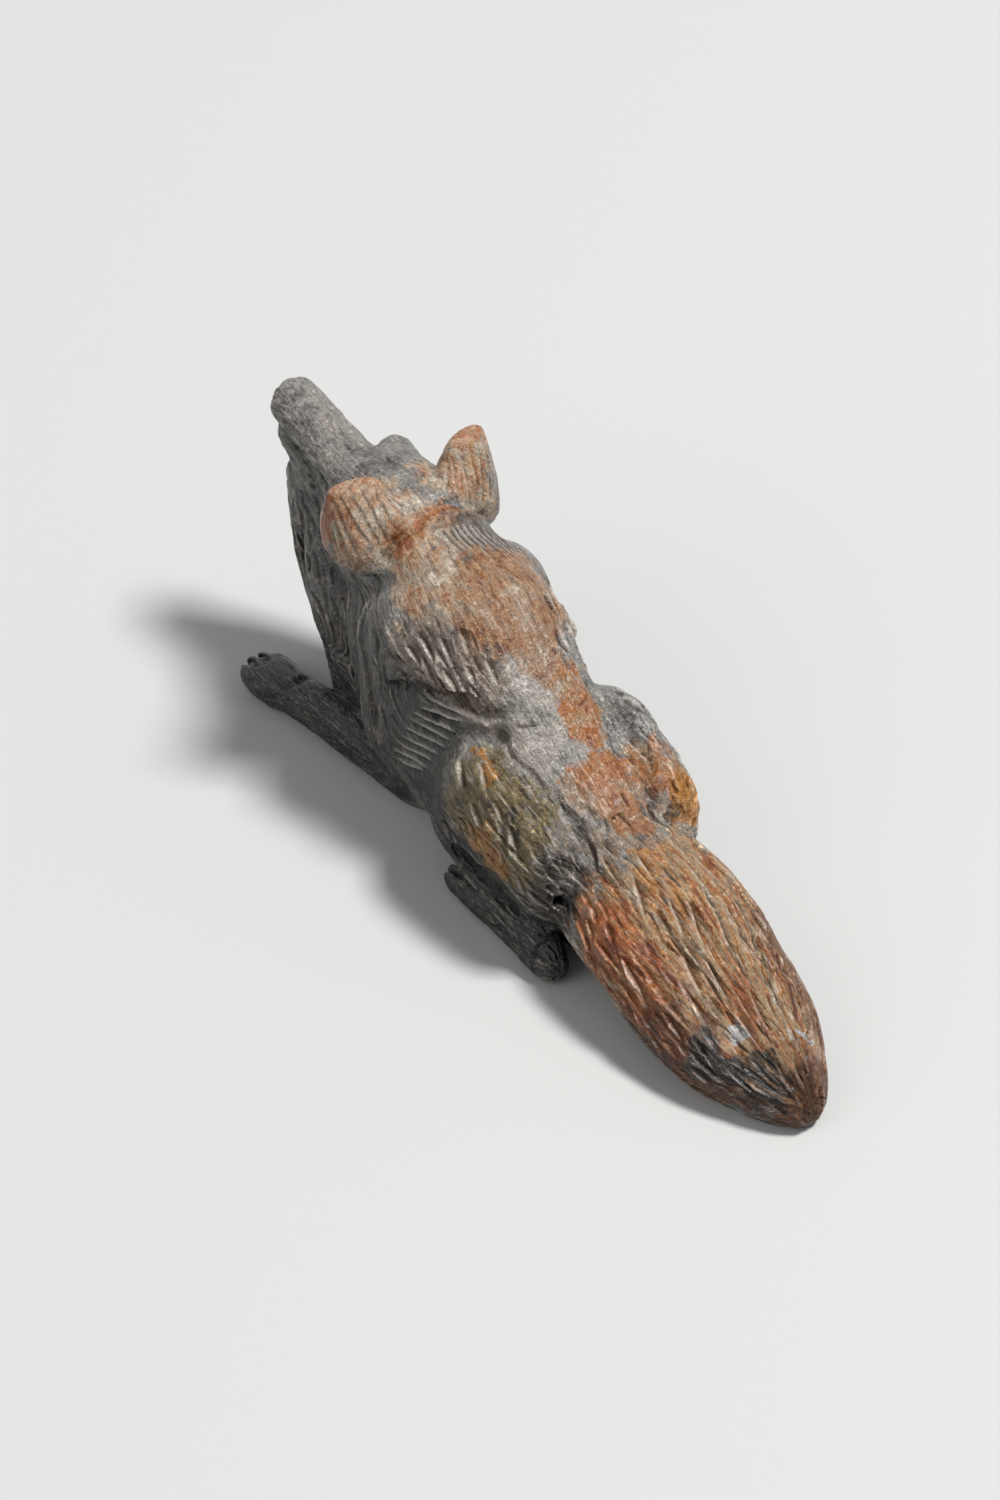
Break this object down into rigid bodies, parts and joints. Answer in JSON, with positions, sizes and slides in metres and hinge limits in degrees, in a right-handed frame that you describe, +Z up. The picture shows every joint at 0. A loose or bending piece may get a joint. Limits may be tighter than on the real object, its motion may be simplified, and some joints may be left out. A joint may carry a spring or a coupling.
{
  "type": "wolf carving",
  "caption": "Small carved stone wolf lying with its head up, forelegs stretched forward and a broad bushy tail; a free-standing ornament with inlaid eyes.",
  "frame": {"origin": "middle of the footprint's box, on the ground that the carving rests on", "axes": "+X from the tail to the nose, +Y to the animal's left, +Z up"},
  "size_m": [0.1144, 0.03, 0.0464],
  "materials": {
    "banded_marble": "hand-carved marble, grey with patches of salmon, rust and olive brown, polished to a satin gloss",
    "eye_stone": "polished blue-green stone inlay"
  },
  "bodies": {
    "root": {"stone_carving": "banded_marble", "left_eye_inlay": "eye_stone", "right_eye_inlay": "eye_stone"}
  },
  "joints": []
}
